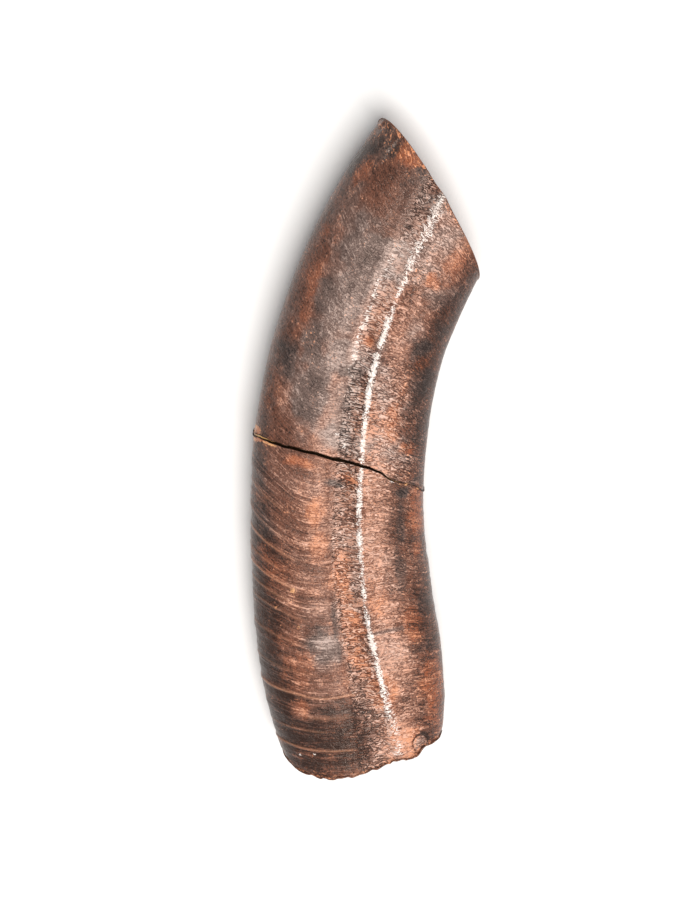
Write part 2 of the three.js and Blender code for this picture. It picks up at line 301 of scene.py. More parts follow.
def keel_and_flute(share, up, along):
    """Height of the keel (a rounded peak), less the flute and plus its shoulder (two bell curves)."""
    off = keel_offset(share, along)
    keel = KEEL_HIGH * np.exp(1 - np.hypot(1, off / KEEL_WIDE))
    flute = FLUTE_DEEP * bell(off - FLUTE_SHIFT, FLUTE_WIDE)
    shoulder = SHOULDER_HIGH * bell(off - SHOULDER_SHIFT, SHOULDER_WIDE)
    return (keel - flute + shoulder) * np.clip(up / RELIEF_FADE, 0, 1)


def section(angle, along):
    """A superellipse in four quarters, by angle: across, up, and both as shares of the section's size."""
    c, s = np.cos(angle), np.sin(angle)
    half = middle_of(along)[2]
    above = s >= 0
    thin = 1 - ROOT_THINNING * (1 - smooth(along / ROOT_THINNING_REACH))
    high = np.where(above, CREST, BELLY + FLAT_CUT) * thin
    power = np.where(above, np.where(c < 0, LEFT_POWER, RIGHT_POWER), UNDER_POWER)
    radius = (np.abs(c / half) ** power + np.abs(s / high) ** power) ** (-1 / power)
    across, up = radius * c, radius * s
    return across, up + keel_and_flute(across / half, up, along), across / half, up / high


def place(across, up, along):
    """The section stands square to the tooth's line, and nothing goes below the resting surface."""
    after, before = middle_of(along + SLOPE_STEP), middle_of(along - SLOPE_STEP)
    dx, dy = after[0] - before[0], after[1] - before[1]
    length = np.hypot(dx, dy)
    x, y, _ = middle_of(along)
    return np.stack([x + dy / length * across, y - dx / length * across, np.maximum(0, BELLY + up)], -1)


def skin_point(angle, along):
    """The point of the smooth form at an angle round the section and a distance along."""
    across, up, _, _ = section(angle, along)
    return place(across, up, along)


def even_angles(count):
    """Angles that share out the section's outline, closer together on the upper side."""
    fine = np.linspace(0, 2 * np.pi, FINE_STEPS + 1)
    points = skin_point(fine, BREAK_ALONG)
    steps = np.linalg.norm(np.diff(points, axis=0), axis=1) * np.where(np.sin(fine[1:]) > 0, UPPER_SHARE, 1)
    run = np.concatenate([[0], np.cumsum(steps)])
    return np.interp(np.arange(count) / count * run[-1], run, fine)


ANGLES = even_angles(AROUND)


def break_along(share, rise):
    """How far along the break lies: one curve over the upper side and another over the underside."""
    over = through(*BREAK_OVER, np.clip(share, -1, 1))
    under = through(*BREAK_UNDER, np.clip(share, -1, 1))
    return BREAK_ALONG + under + (over - under) * ease(rise, -BREAK_TURN, BREAK_TURN)


def uneven_break(share, rise):
    """The break with the fine unevenness of its two faces."""
    return break_along(share, rise) + noises(on_section(share, rise), BREAK_UNEVEN)


def crack_half(share):
    """Half of the crack's open width at a share across."""
    return through(*CRACK_OPEN, np.clip(share, -1, 1))


def break_limit(side):
    """The crack's edge on the skin: the break, half of the crack's width to one side, a little ragged."""
    _, _, share, rise = section(ANGLES, BREAK_ALONG)
    at = on_section(share, rise)
    broken = ease(noises(at, CRACK_CHIP_NOISE), *CRACK_CHIP_BROKEN)
    chipped = CRACK_CHIP_DEEP * ease(share, *CRACK_CHIP_FROM) * broken
    return break_along(share, rise) + noises(at, BREAK_RAGGED) + side * (crack_half(share) + chipped)


def root_along(share):
    """How far along the root's broken end lies at a share across."""
    return through(*ROOT_END, np.clip(share, -1, 1))


def crown_along(angle):
    """Where the line of each angle meets the plane of the wear face, by halving the stretch it is in."""
    low = np.full(angle.shape, BREAK_ALONG)
    high = np.full(angle.shape, REACH[-1])
    for _ in range(HALVINGS):
        middle = (low + high) / 2
        short = (skin_point(angle, middle) - TIP) @ FACE_NORMAL < 0
        low, high = np.where(short, middle, low), np.where(short, high, middle)
    return low


class Rings:
    """Rings of points from one end of a piece to the other, with the straightened place of each point."""

    def __init__(self):
        self.points, self.strand, self.share, self.skin = [], [], [], []

    def add(self, points, across, up, along, share, skin):
        """One ring: its points, their straightened places and shares across, and 1 if it is on the skin."""
        self.points.append(points)
        self.strand.append(np.stack(np.broadcast_arrays(across, up, along), -1))
        self.share.append(share * np.ones(AROUND))
        self.skin.append(skin * np.ones(AROUND))

    def add_section(self, out, along, skin):
        """A ring in the tooth: the section at a distance along, drawn in to a share of its size."""
        across, up, share, _ = section(ANGLES, along)
        self.add(place(across * out, up * out, along), across * out, up * out, along, share * out, skin)

    def arrays(self):
        """The stack of rings as whole arrays."""
        return [np.array(a) for a in (self.points, self.strand, self.share, self.skin)]


def skin_rows(rings, start, end, rows):
    """Rings of the outer skin, whose distances along run from one limit to the other at each angle."""
    for row in range(rows + 1):
        rings.add_section(1, start + (end - start) * row / rows, 1)


def break_rows(rings, side, outs):
    """Rings of a broken face at shares of the way out: the uneven break, half of the crack to one side."""
    _, _, share, rise = section(ANGLES, BREAK_ALONG)
    for out in outs:
        rings.add_section(out, uneven_break(share * out, rise * out) + side * crack_half(share * out), 0)


def crown_rings():
    """From the middle of the broken face out to the crack, up the skin, and in over the wear face."""
    rings = Rings()
    break_rows(rings, 1, BREAK_RINGS)
    top = crown_along(ANGLES)
    skin_rows(rings, break_limit(1), top - FACE_INSET, CROWN_ROWS)
    across, up, share, _ = section(ANGLES, top)
    rim = place(across, up, top)
    centre = rim.mean(0)
    for out in FACE_RINGS:
        point = centre + (rim - centre) * out
        worn = BASIN_DEEP * smooth((1 - out) / BASIN_SIDE) - RIM_HIGH * smooth((1 - out) / RIM_SIDE)
        uneven = noises(point.T, FACE_UNEVEN) * smooth((1 - out) / ROUGH_FROM)
        point = point - FACE_NORMAL * (np.maximum(worn, 0) + uneven + SKIN_INSET)[:, None]
        deep = top.mean() + (top - top.mean()) * out
        rings.add(point, across * out, up * out, deep, share * out, 0)
    return rings.arrays()


def root_rings():
    """From the tip of the pulp cavity out over the broken rim, up the skin, and in over the broken face."""
    rings = Rings()
    _, _, share, rise = section(ANGLES, CAVITY_TIP)
    ragged = np.maximum(noises(on_section(share, rise), ROOT_END_RAGGED), ROOT_RAGGED_LEAST)
    end = root_along(share) + ragged + ROOT_INSET
    for down in CAVITY_RINGS:
        along = end + (CAVITY_TIP - end) * down
        across, up, _, _ = section(ANGLES, along)
        wall = WALL + noises((*on_section(share, rise), along * CAVITY_STREAKED), CAVITY_RIDGED)
        rings.add_section((1 - wall / np.hypot(across, up)) * (1 - down**CAVITY_TAPER), along, 0)
    across, up, _, _ = section(ANGLES, end)
    inner = 1 - WALL / np.hypot(across, up)
    for out in WALL_RINGS:
        crumbled = WALL_SUNK + noises(on_section(share * out, rise * out), WALL_CRUMBLED)
        rings.add_section(inner + (1 - inner) * out, end + crumbled, 0)
    skin_rows(rings, end + ROOT_LIP, break_limit(-1), ROOT_ROWS)
    break_rows(rings, -1, BREAK_RINGS[::-1])
    return rings.arrays()


def glue_rings():
    """A thin sheet in the break: out over its lower side and back in over its upper side."""
    rings = Rings()
    _, _, share, rise = section(ANGLES, BREAK_ALONG)
    filled = np.maximum(ease(share, *GLUE_RIGHT), np.maximum(ease(share, *GLUE_LEFT), ease(rise, *GLUE_BELOW)))
    reach = GLUE_REACH + GLUE_REACHES_OUT * filled
    for side, outs in ((-1, GLUE_RINGS), (1, GLUE_RINGS[::-1])):
        for out in outs:
            at = share * out * reach
            thick = GLUE_SHARE_OF_CRACK * crack_half(at)
            rings.add_section(out * reach, uneven_break(at, rise * out * reach) + side * thick, 0)
    return rings.arrays()


def growth_distance(share, along):
    """The distance along, less the bow of the growth lines, which grows towards the crown."""
    return along - through(*GROWTH_BOW, share) * varying(*GROWTH_BOWED, along)


def growth_strength(share, growth):
    """Growth lines are strong over the left of the root, weaker on its right, and faint on the crown."""
    left = ease(share, *GROWTH_LEFT)
    right = ease(share, *GROWTH_RIGHT) * GROWTH_ON_RIGHT
    return (GROWTH_LEAST + (1 - GROWTH_LEAST) * np.maximum(left, right)) * varying(*GROWTH_CLEAR, growth)


def marked_lines(share, growth):
    """The sum of the single lines: each a bell curve over the growth distance, faded at its two ends."""
    total = 0
    for at, left, right, wide, strong in GROWTH_MARKS:
        wander = noises((share * HALF_BREADTH, at), MARK_WANDER)
        reach = ease(share, left, left + MARK_LEFT_FADE) * ease(share, right, right - MARK_RIGHT_FADE)
        total = total + strong * reach * bell(growth - at - wander, wide)
    return total


def growth_relief(share, up, growth, marks):
    """Depth of the growth lines: noise of several spacings along the growth distance, in patches."""
    across = share * HALF_BREADTH
    waves = sum(
        deep * noise((growth, across * squeezed, up * squeezed), spacing, seed)
        for deep, spacing, squeezed, seed in GROWTH_WAVES)
    patch = PATCHES_LEAST + noises((growth / PATCHES_LONG, across, up), PATCHES_NOISE)
    return growth_strength(share, growth) * patch * waves - MARK_DEEP * marks


def skin_relief(share, up, along, points, waves):
    """Depth taken off the smooth form: growth lines, swells, worn chips, a rough end and an inset."""
    at = (share * HALF_BREADTH, up, along)
    tip = np.linalg.norm(points - TIP_CHIPS_AT, axis=-1)
    chips = TIP_CHIPS_DEEP * ease(tip, *TIP_CHIPS_NEAR) * ease(noises(at, TIP_CHIP_NOISE), *TIP_CHIPS_BROKEN)
    near_end = ease(along - root_along(share), *ROOT_ROUGH_NEAR)
    rough = ROOT_ROUGH_DEEP * near_end * (0.5 + noises(at, ROOT_ROUGH_NOISE))
    depth = SKIN_INSET + SKIN_WEAR + waves + noises(at, SKIN_SWELL) + chips + rough
    return np.maximum(depth, SKIN_INSET) * ease(up, -BELLY, -BELLY + FLAT_FADE)


def pit_relief(share, up, along):
    """The sum of the pits and nubs, each a bell curve over the distance from its middle."""
    pits = sum(deep * bell(from_spot(share, along, at, where), radius) for at, where, radius, deep in PITS)
    return pits * (up > 0)


def chip_relief(share, up, along):
    """A scoop that is flat inside the chip's oval and ends sharply at it, and the dark line along its edge."""
    far = from_spot(share, along, CHIP_SHARE, CHIP_ALONG, long=CHIP_LONG)
    far = far + noises((share * HALF_BREADTH, along), CORNER_CHIP_NOISE)
    scoop = CHIP_DEEP * ease(far, CHIP_RADIUS, CHIP_RADIUS - CHIP_SLOPE)
    upper_left = along - CHIP_ALONG - CHIP_LINE_SLANT * (share - CHIP_SHARE)
    line = bell(far - CHIP_RADIUS, CHIP_LINE_WIDE) * ease(upper_left, *CHIP_LINE_FROM)
    return scoop * (up > 0), line * (up > 0)


def outward(points):
    """Unit normals of a stack of rings, from the differences between neighbours along and around."""
    lengthwise = np.gradient(points, axis=0)
    around = np.roll(points, -1, 1) - np.roll(points, 1, 1)
    normal = np.cross(lengthwise, around)
    return normal / np.maximum(np.linalg.norm(normal, axis=-1, keepdims=True), 1e-9)


def add_object(name, data):
    """A new object of the scene, at the origin."""
    made = bpy.data.objects.new(name, data)
    bpy.context.scene.collection.objects.link(made)
    return made


def make_piece(name, arrays, ends, fields):
    """Closes a stack of rings into a mesh with a point at each end, and stores each field at each point."""
    points, strand, _, skin = arrays
    rows, count = points.shape[:2]
    ids = 1 + np.arange(rows * count).reshape(rows, count)
    across = np.roll(ids, -1, 1)
    squares = np.stack([ids[:-1], ids[1:], across[1:], across[:-1]], -1).reshape(-1, 4)
    last = np.full(count, rows * count + 1)
    fans = np.vstack([np.stack([last * 0, ids[0], across[0]], -1), np.stack([last, across[-1], ids[-1]], -1)])
    flat = np.vstack([ends[0], points.reshape(-1, 3), ends[1]])
    mesh = bpy.data.meshes.new(name)
    mesh.from_pydata(((flat + PLAN_SHIFT) * MM).tolist(), [], squares.tolist() + fans.tolist())
    mesh.shade_smooth()
    for title, values in {"skin": skin, **fields}.items():
        whole = np.concatenate([values[0, :1], values.reshape(-1), values[-1, :1]])
        mesh.attributes.new(title, "FLOAT", "POINT").data.foreach_set("value", whole.astype(np.float32))
    straight = np.vstack([strand[0].mean(0), strand.reshape(-1, 3), strand[-1].mean(0)])
    mesh.attributes.new("strand", "FLOAT_VECTOR", "POINT").data.foreach_set(
        "vector", straight.astype(np.float32).ravel())
    return add_object(name, mesh)


# Patches: share across, distance along, radius across, radius along, strength. The rust, soot and ashen lists are
# stains, the pale list is painted sheen and highlights, and the dark list makes places darker. They reach down the
# sides to one height, and their uneven edges are eased in between two distances in radii.
PATCH_DOWN_TO = -3
PATCH_EDGE = (1.35, 0.3)
PATCH_NOISE = [(0.35, 2.4, 0), (0.2, 1.1, 1)]
RUST = [
    (-0.5, 121, 2.5, 2.5, 1.2), (-0.85, 114, 2, 3, 0.5), (-0.79, 103, 3.5, 2.5, 0.35), (-0.79, 93.6, 2.5, 7, 0.45),
    (-0.76, 97, 3, 3, 0.25), (0.05, 89.2, 1.1, 1.3, 1), (0.46, 103.4, 1.6, 2, 0.8), (0.73, 88, 1.8, 2, 0.8),
    (0.55, 76, 1.8, 5.5, 0.6), (0.77, 70, 3, 1.8, 0.7), (-0.46, 65.6, 3.2, 1.2, 1.1), (-0.24, 56.7, 2.2, 3.8, 0.7),
    (-0.22, 51, 2.2, 4, 0.6), (0.03, 44, 2, 8, 0.8), (0.08, 35, 2.4, 6, 0.8), (0.09, 29, 2.8, 5, 0.7),
    (0.9, 55, 1.8, 8, 1.1), (0.72, 33, 1.8, 6, 0.8), (0.86, 20, 2.6, 8, 1), (0.35, 21.5, 3, 5, 0.7),
    (0.94, 12, 2, 4, 0.8), (-0.58, 20, 2, 3.5, 0.5), (0.12, 63, 2.5, 1.6, 0.7), (-0.7, 45, 3, 4, 0.45),
    (0.45, 40, 3, 8, 0.4), (-0.5, 30, 3, 5, 0.4), (0.6, 108, 2.5, 4, 0.5), (0.5, 12, 4, 4, 0.5),
    (-0.78, 47, 2, 5, 0.55), (-0.8, 33, 2, 3.5, 0.5), (-0.6, 26, 2.5, 4, 0.5),
]
SOOT = [
    (-0.79, 82, 2.2, 3, 0.9), (-0.63, 93.6, 2.6, 3, 0.7), (-0.55, 86, 2, 4, 0.7), (-0.4, 78, 3, 5, 0.6),
    (-0.3, 100, 3, 6, 0.35), (-0.05, 83, 2.2, 0.8, 1.2), (0.03, 76, 2.6, 7, 0.2), (0.05, 62.6, 3, 0.9, 1.2),
    (0.67, 90.5, 2, 3, 0.8), (0.8, 83, 2.2, 4, 0.8), (0.74, 60.6, 1.5, 1.4, 1), (0.72, 54, 0.9, 5, 0.6),
    (0.68, 45, 0.9, 6, 0.4), (-0.85, 54, 2.4, 4, 0.45), (-0.28, 32, 3.8, 3, 0.75), (-0.88, 30, 2.2, 4, 0.45),
    (0.91, 36.6, 2, 2, 0.45), (0.84, 28.7, 2.2, 1.6, 0.4), (-0.88, 15.6, 2.2, 4, 0.4), (-0.97, 115, 1.6, 3, 0.8),
    (-0.72, 119.5, 1.6, 2.2, 0.7), (-0.1, 35, 0.7, 7, 0.8), (-0.06, 35.3, 5, 0.5, 0.6), (0.5, 33.2, 6, 0.5, 0.6),
    (-0.34, 118, 4, 4, 0.3), (0, 100, 2, 5, 0.4), (-0.9, 66, 1.4, 8, 0.4),
]
# Painted sheen and highlights: pale patches where the light falls on the tooth.
SHEEN_PATCHES = [
    (-0.2, 74, 2.6, 12, 0.7), (-0.3, 84, 5, 6, 0.4), (0.4, 68, 4, 11, 1.2), (0.32, 110, 5, 6, 0.45),
    (0.04, 101, 2.4, 12, 1.5), (-0.02, 87, 1.8, 6, 0.8), (0.36, 80, 2.4, 10, 0.4), (-0.25, 54, 3.2, 11, 0.5),
    (0.4, 52, 2.8, 14, 0.9), (0.46, 28, 3.5, 12, 0.95), (0.46, 11, 4, 6, 1.3), (0.1, 48, 2.5, 18, 0.3),
    (-0.3, 68, 3, 3, 0.5), (-0.1, 96, 2, 12, 0.6), (-0.38, 92, 5, 10, 0.5), (0.05, 76, 2, 9, 0.5),
    (0.25, 22, 3, 8, 0.45), (0.36, 92, 3, 6, 0.4), (-0.6, 78, 4, 6, 0.45), (0.42, 20, 4, 8, 0.4),
    (0.4, 74, 3, 5, 0.5), (-0.22, 32.2, 2, 1.4, 0.8),
]
DARK = [
    (-0.5, 12, 8, 8, 1.3), (-0.15, 13, 5, 8, 1.6), (-0.85, 40, 4, 14, 0.9), (-0.85, 20, 4, 12, 1),
    (-0.7, 118, 5, 5, 0.35), (0.8, 92, 3, 14, 0.8), (0.85, 75, 3, 8, 0.4), (0.75, 34, 2.4, 6, 0.3),
    (0.67, 50, 1.2, 12, 0.5), (-0.2, 114, 4, 8, 0.25),
]
ASHEN = [
    (-0.4, 94, 5, 15, 1.1), (-0.45, 80, 5, 9, 1.1), (-0.15, 112, 5, 8, 0.5), (-0.26, 31, 3.6, 3.6, 0.8),
    (-0.1, 76, 3, 9, 0.7),
]

# Painted light across the tooth: a painted sheen near one share across, and painted shade towards both edges.
SHEEN_MIDDLE, SHEEN_AMOUNT, SHEEN_NEAR = 0.15, 0.35, (0.75, 0.1)
EDGE_SHADE_AMOUNT, SHADED_EDGES = 0.7, (0.62, 1)

# The corner chip: how pale and how ashen a millimetre of its depth makes it, and how dark its line is.
CHIP_PALE, CHIP_ASHEN, CHIP_LINE_DARK = 3.4, 2.5, 4

# Painted highlight: how broken, how wide along the flute's border, and painted glints: share across, distance
# along, radius.
HIGHLIGHT_WHOLE, HIGHLIGHT_BROKEN = 0.8, [(0.35, 0.9, 71), (0.45, 2.6, 72)]
BORDER_HIGHLIGHT_WIDE = 0.045
GLINT_STRONG = 1.2
GLINTS = [(0.61, 63.1, 0.32), (-0.74, 9.3, 0.22), (-0.56, 9.6, 0.2), (0.04, 69.4, 0.3), (-0.06, 71.6, 0.3)]

# Shares across over which the flute and the skin beside it begin and end.
FLUTE_LEFT, FLUTE_RIGHT = (-0.02, 0.03), (0.02, -0.04)
BORDER_RIGHT, KEEL_RIGHT, FAR_LEFT, FAR_RIGHT = (-0.03, 0.02), (0, 0.05), (-0.5, -0.3), (0.3, 0.5)

# How strong the grain is: everywhere, then what it gains in the flute and beside it.
GRAIN_ALL = 0.36
GRAIN_FLUTE, GRAIN_CROWN_FLUTE, GRAIN_CROWN_KEEL, GRAIN_LOW_CROWN = 0.4, 0.15, 0.3, 0.35
GRAIN_ROOT_BORDER, GRAIN_CROWN_RIGHT = 0.25, 0.15

# Bare golden places at the crack: how strong, over which shares across, how far from the break, how wide.
GOLD_CHIP, GOLD_CHIP_WHERE, GOLD_CHIP_AT, GOLD_CHIP_NEAR = 1.2, (-0.88, -0.97), 0.3, (2, 0.5)
GOLD_LIP_WHERE, GOLD_LIP_AT, GOLD_LIP_WIDE = (-0.62, -0.8), -0.45, 0.3
CRUMBS, CRUMBS_WHERE, CRUMBS_AT, CRUMBS_WIDE = 0.8, (0.6, 0.75), -0.1, 0.45
CRUMBS_NOISE, CRUMBS_BROKEN = [(1, 0.7, 73)], (-0.1, 0.3)
GOLD_NUBS = 3.2

# Crumbly edges: how far they reach at the root's end, along the wear face and round the tip.
ROOT_RIM_REACH = 1.3
FACE_RIM, FACE_RIM_REACH = 0.75, 0.5
TIP_RIM_AT, TIP_RIM_REACH, TIP_RIM_NEAR = TIP + [1, -1, 5], 2.5, (13, 4)

CRACK_EDGE_REACH = 0.5
GROOVE_SHADE_SCALE = 10


def oval_patches(patches, share, up, along, seed):
    """The strongest of a list of soft-edged oval patches at each point, with uneven edges."""
    layers = [(high, size, seed + after) for high, size, after in PATCH_NOISE]
    uneven = noises((share * HALF_BREADTH, up, along), layers)
    total = np.zeros(share.shape)
    for at, where, wide, long, strong in patches:
        far = from_spot(share, along, at, where, wide, long) + uneven
        total = np.maximum(total, strong * ease(far, *PATCH_EDGE))
    return np.where(up > PATCH_DOWN_TO, total, 0)


def tone_field(share, up, along):
    """Painted sheen patches less darker patches, plus a painted sheen over the middle of the tooth and painted
    shade towards its edges.
    """
    spots = oval_patches(SHEEN_PATCHES, share, up, along, 65) - oval_patches(DARK, share, up, along, 67)
    middle = SHEEN_AMOUNT * ease(np.abs(share - SHEEN_MIDDLE), *SHEEN_NEAR)
    return spots + middle - EDGE_SHADE_AMOUNT * ease(np.abs(share), *SHADED_EDGES)


def painted_highlight_field(share, up, along):
    """Painted highlight: a broken bell curve along the keel, another along the flute's border, and painted glints.
    """
    broken = HIGHLIGHT_WHOLE + noises((share * HALF_BREADTH, along), HIGHLIGHT_BROKEN)
    keel = varying(*HIGHLIGHT_STRONG, along) * bell(keel_offset(share, along), varying(*HIGHLIGHT_WIDE, along))
    border = varying(*BORDER_HIGHLIGHT_STRONG, along) * bell(border_offset(share, along), BORDER_HIGHLIGHT_WIDE)
    glints = sum(bell(from_spot(share, along, at, where), radius) for at, where, radius in GLINTS)
    return (broken * (keel + border) + GLINT_STRONG * glints) * (up > 0)


def flute_field(share, up, along):
    """1 between the flute's border and the keel on the upper side, and 0 outside."""
    left = ease(border_offset(share, along), *FLUTE_LEFT)
    return left * ease(keel_offset(share, along), *FLUTE_RIGHT) * (up > 0)


def grain_field(share, along, flute):
    """How strong the grain is: a level everywhere, plus gains in the flute and beside it."""
    crown, low = varying(*ON_CROWN, along), varying(*LOW_DOWN, along)
    in_flute = GRAIN_FLUTE + crown * (GRAIN_CROWN_FLUTE + GRAIN_LOW_CROWN * low)
    by_keel = crown * (GRAIN_CROWN_KEEL + GRAIN_LOW_CROWN * low) * ease(keel_offset(share, along), *KEEL_RIGHT)
    by_border = ease(share, *FAR_LEFT) * ease(border_offset(share, along), *BORDER_RIGHT) * (1 - crown)
    far_right = ease(share, *FAR_RIGHT) * crown
    return (GRAIN_ALL + in_flute * flute + by_keel
            + GRAIN_ROOT_BORDER * by_border - GRAIN_CROWN_RIGHT * far_right)


def gold_field(share, up, along, off_break, pits):
    """Bare golden places: a chip and a lip at the crack's left end, crumbs at its right end, and the nubs."""
    chip = GOLD_CHIP * ease(share, *GOLD_CHIP_WHERE) * ease(np.abs(off_break - GOLD_CHIP_AT), *GOLD_CHIP_NEAR)
    lip = ease(share, *GOLD_LIP_WHERE) * bell(off_break - GOLD_LIP_AT, GOLD_LIP_WIDE)
    crumbs = CRUMBS * ease(share, *CRUMBS_WHERE) * bell(off_break - CRUMBS_AT, CRUMBS_WIDE)
    crumbs = crumbs * ease(noises((share * HALF_BREADTH, along), CRUMBS_NOISE), *CRUMBS_BROKEN)
    return (chip + lip + crumbs - GOLD_NUBS * np.minimum(0, pits)) * (up > PATCH_DOWN_TO)


def rim_field(points, share, along):
    """Crumbly edges that fade from the root's broken end and from the wear face, broadest round the tip."""
    far = np.linalg.norm(points - TIP_RIM_AT, axis=-1)
    from_face = np.maximum(-(points - TIP) @ FACE_NORMAL, 0)
    lip = FACE_RIM * fade(from_face, FACE_RIM_REACH) + fade(from_face, TIP_RIM_REACH) * ease(far, *TIP_RIM_NEAR)
    return np.maximum(fade(np.maximum(along - root_along(share), 0), ROOT_RIM_REACH), lip)


def fossil_piece(name, arrays, ends):
    """Takes the fine relief off the skin, and makes the mesh with the fields that its finish reads."""
    points, strand, share, skin = arrays
    _, up, along = np.moveaxis(strand, -1, 0)
    growth = growth_distance(share, along)
    marks = marked_lines(share, growth)
    waves = growth_relief(share, up, growth, marks)
    pits = pit_relief(share, up, along)
    chip, chip_line = chip_relief(share, up, along)
    depth = skin_relief(share, up, along, points, waves) + pits + chip
    points = points - outward(points) * (depth * skin)[..., None]
    points[..., 2] = np.maximum(points[..., 2], 0.0)
    flute = flute_field(share, up, along)
    off_break = along - break_along(share, up / CREST)
    fields = {
        "growth": growth,
        # The growth lines' depth, which the finish paints darker in the grooves as shade.
        "groove_shade": waves * GROOVE_SHADE_SCALE,
        "ruled": growth_strength(share, growth),
        "marks": marks - CHIP_LINE_DARK * chip_line,
        "rust": oval_patches(RUST, share, up, along, 61),
        "soot": oval_patches(SOOT, share, up, along, 63),
        # Painted sheen and shade, darker patches, and the pale bare inside of the chip.
        "placed": tone_field(share, up, along) + CHIP_PALE * chip,
        "ashen": np.maximum(oval_patches(ASHEN, share, up, along, 69), CHIP_ASHEN * chip),
        # Painted highlight along the keel and the flute's border, and painted glints.
        "painted_highlight": painted_highlight_field(share, up, along),
        "flute": flute * varying(*FLUTE_CLEAR, along),
        "grained": grain_field(share, along, flute),
        # Nearness to the break, by which the finish paints shade in the crack.
        "crack_edge": fade(np.abs(off_break), CRACK_EDGE_REACH),
        "gold": gold_field(share, up, along, off_break, pits),
        "rim": rim_field(points, share, along),
    }
    return make_piece(name, (points, strand, share, skin), ends, fields)


class Flow:
    """A shader socket that takes part in arithmetic: each operation adds one Math or Vector Math node."""

    def __init__(self, tree, socket=None):
        self.tree = tree
        self.socket = socket

    def node(self, kind, settings, sockets, output=0):
        """Adds a shader node: its settings come first, then its sockets' values or links."""
        made = self.tree.nodes.new("ShaderNode" + kind)
        for title, value in settings.items():
            setattr(made, title, value)
        for title, value in sockets.items():
            if isinstance(value, Flow):
                self.tree.links.new(value.socket, made.inputs[title])
            else:
                made.inputs[title].default_value = value
        return Flow(self.tree, made.outputs[output])

    def maths(self, operation, first, second):
        """Adds a Math node, or a Vector Math node where this socket is a vector."""
        kind = "VectorMath" if self.socket.type == "VECTOR" else "Math"
        return self.node(kind, {"operation": operation}, {0: first, 1: second})

    def __add__(self, other):
        return self.maths("ADD", self, other)

    def __sub__(self, other):
        return self.maths("SUBTRACT", self, other)

    def __mul__(self, other):
        return self.maths("MULTIPLY", self, other)

    def __rsub__(self, other):
        return self.maths("SUBTRACT", other, self)

    __radd__ = __add__
    __rmul__ = __mul__

    def between(self, low, high):
        """Smoothstep from 0 at low to 1 at high."""
        sockets = {"Value": self, "From Min": low, "From Max": high}
        return self.node("MapRange", {"interpolation_type": "SMOOTHSTEP"}, sockets)

    def near(self, level, sharp):
        """1 at a level, and less by sharp times the distance from it elsewhere, down to 0."""
        away = self.node("Math", {"operation": "ABSOLUTE"}, {0: self - level})
        return (1 - away * sharp).held()

    def held(self):
        """The value held between 0 and 1."""
        return self.node("Clamp", {}, {"Value": self})

    def part(self, number):
        """One part of a vector, by its number."""
        return self.node("SeparateXYZ", {}, {0: self}, number)


def new_material(name):
    """A new node material."""
    material = bpy.data.materials.new(name)
    material.use_nodes = True
    return material


def finish_with(material, sockets, numbers):
    """Links what varies over the surface, and sets what is the same all over on the shader's own sockets."""
    tree = material.node_tree
    shader = next(node for node in tree.nodes if node.type == "BSDF_PRINCIPLED")
    for title, value in sockets.items():
        tree.links.new(value.socket, shader.inputs[title])
    for title, value in numbers.items():
        shader.inputs[title].default_value = value


def read_field(tree, title, output="Fac"):
    """The value that a field has at the surface's points."""
    return Flow(tree).node("Attribute", {"attribute_name": title}, {}, output)


def hollow(relief):
    """Bump from a relief in millimetres."""
    return relief.node("Bump", {}, {"Height": relief, "Distance": MM, "Strength": 1.0})


# The Mix node has sockets of one name for each kind of data, so those for colours are picked by number.
MIX_SHARE, MIX_FIRST, MIX_SECOND, MIX_COLOUR = 0, 6, 7, 2


def blend(share, first, second):
    """Colour that goes from the first to the second as the share goes from 0 to 1."""
    first, second = (value if isinstance(value, Flow) else (*value, 1) for value in (first, second))
    sockets = {MIX_SHARE: share, MIX_FIRST: first, MIX_SECOND: second}
    return share.node("Mix", {"data_type": "RGBA"}, sockets, MIX_COLOUR)


def ramp(tone, dark, middle, light):
    """Colour from dark through middle to light as the tone goes from about 0 to 1."""
    return blend(tone.between(*RAMP_LIGHT), blend(tone.between(*RAMP_DARK), dark, middle), light)


def grain(at, scale, detail, roughness=0.55, warp=0.0):
    """Smooth noise from 0 to 1 at a place, with the given number of finer layers."""
    sockets = {"Vector": at, "Scale": scale, "Detail": detail, "Roughness": roughness, "Distortion": warp}
    return at.node("TexNoise", {"noise_type": "FBM", "normalize": True}, sockets)


def lengthwise(strand, growth, squeezed):
    """A place with the growth distance last and the other parts squeezed, so that noise runs in lines."""
    return strand.node("CombineXYZ", {}, {0: strand.part(0) * squeezed, 1: strand.part(1) * squeezed, 2: growth})


def weigh(layers, table, start=0.0):
    """A start plus each layer of a table, less its middle value and times its weight."""
    total = start - sum(middle * weight for _, middle, weight in table)
    for title, _, weight in table:
        total = total + layers[title] * weight
    return total


# Colours from dark to light: of plain, ashen and rusty fossil, then of bare places and marks, and a white for
# painted highlights, painted sparkle and the glue's dust.
UMBER, CHESTNUT, FAWN = (0.024, 0.009, 0.006), (0.18, 0.07, 0.043), (0.7, 0.36, 0.245)
INK, SLATE, ASH = (0.015, 0.013, 0.014), (0.12, 0.095, 0.086), (0.48, 0.41, 0.38)
SOOTY, SIENNA, APRICOT = (0.05, 0.015, 0.007), (0.36, 0.1, 0.04), (0.8, 0.32, 0.15)
TAN, GOLD, MARK_TAN = (0.52, 0.29, 0.17), (0.78, 0.41, 0.2), (0.55, 0.26, 0.15)
HIGHLIGHT_AND_DUST_WHITE = (0.92, 0.82, 0.76)
AMBER, PALE_AMBER = (0.42, 0.2, 0.06), (0.68, 0.42, 0.18)
# The tones between which a ramp goes from dark to middle, and from middle to light.
RAMP_DARK, RAMP_LIGHT = (-0.1, 0.55), (0.45, 1.05)

